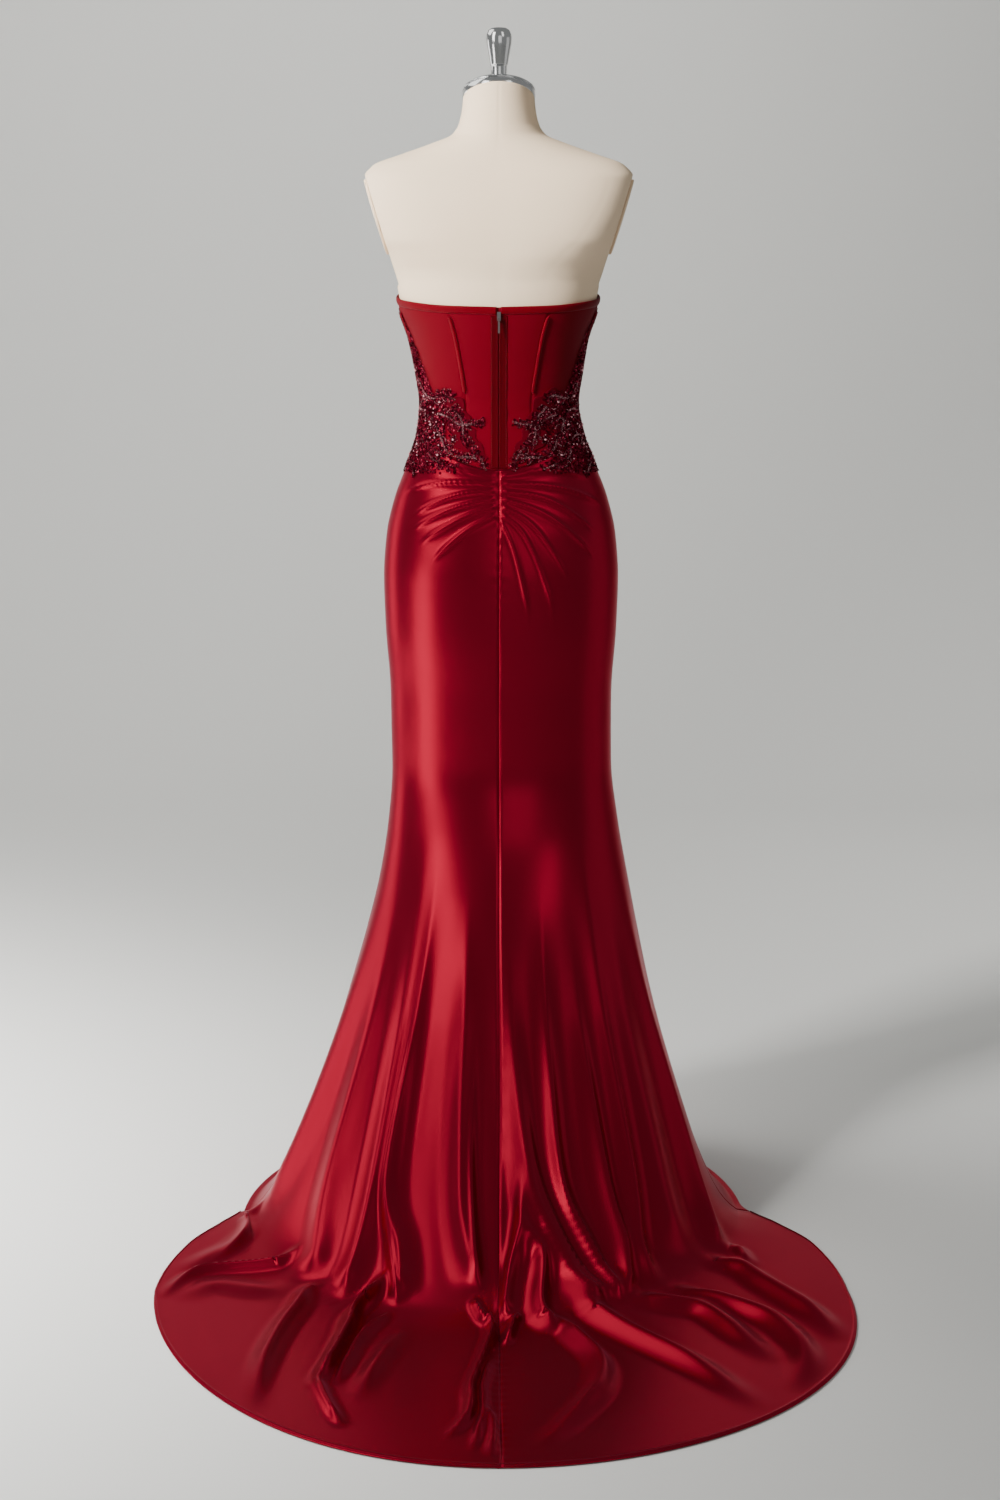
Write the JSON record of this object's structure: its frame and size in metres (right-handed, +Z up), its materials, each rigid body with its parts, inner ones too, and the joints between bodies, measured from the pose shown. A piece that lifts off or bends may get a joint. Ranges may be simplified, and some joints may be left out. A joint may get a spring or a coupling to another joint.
{
  "type": "mermaid prom dress on a dress form",
  "caption": "Strapless mermaid prom dress with boned bodice, gathered centre back and round train, on a limbless dress form with a knobbed neck cap.",
  "frame": {"origin": "centre of the stand's flat underside, on the floor, on the dress form's own upright axis", "axes": "+Z up, +Y the way a wearer would face, -Y the back of the dress and its train, +X to the right seen from the back"},
  "size_m": [0.9041, 1.303, 1.653],
  "materials": {
    "satin": "glossy deep red stretch satin",
    "bodice_cloth": "matte deep red woven cloth",
    "trim": "deep red binding",
    "sequins": "net covered with dark red sequins and beads",
    "form_cloth": "cream jersey drawn over the form",
    "chrome": "polished",
    "stand_paint": "satin paint",
    "zip_metal": "bright nickel"
  },
  "bodies": {
    "dress_on_form": {"skirt_back_left": "satin", "skirt_back_right": "satin", "skirt_front": "satin", "bodice_back_left": "bodice_cloth", "bodice_side_left": "bodice_cloth", "bodice_front_side_left": "bodice_cloth", "bodice_back_right": "bodice_cloth", "bodice_side_right": "bodice_cloth", "bodice_front_side_right": "bodice_cloth", "bodice_front": "bodice_cloth", "top_binding": "trim", "bone_inner_left": "trim", "bone_outer_left": "trim", "bone_inner_right": "trim", "bone_outer_right": "trim", "applique_side_left": "sequins", "applique_side_right": "sequins", "applique_back_left": "sequins", "applique_back_right": "sequins", "applique_front_left": "sequins", "applique_front_right": "sequins", "arm_plate_left": "form_cloth", "arm_plate_right": "form_cloth", "form_torso": "form_cloth", "neck_cap": "chrome", "cap_knob": "chrome", "stand_base": "stand_paint", "stand_pole": "stand_paint", "zip_slider": "zip_metal"},
    "zip_tab": {"zip_pull": "zip_metal"}
  },
  "joints": [
    {"name": "zip_pull_swing", "type": "hinge", "parent": "dress_on_form", "child": "zip_tab", "pos_m": [0, -0.1023, 1.252], "axis": [-1, 0, 0], "range_deg": [0, 150]}
  ]
}
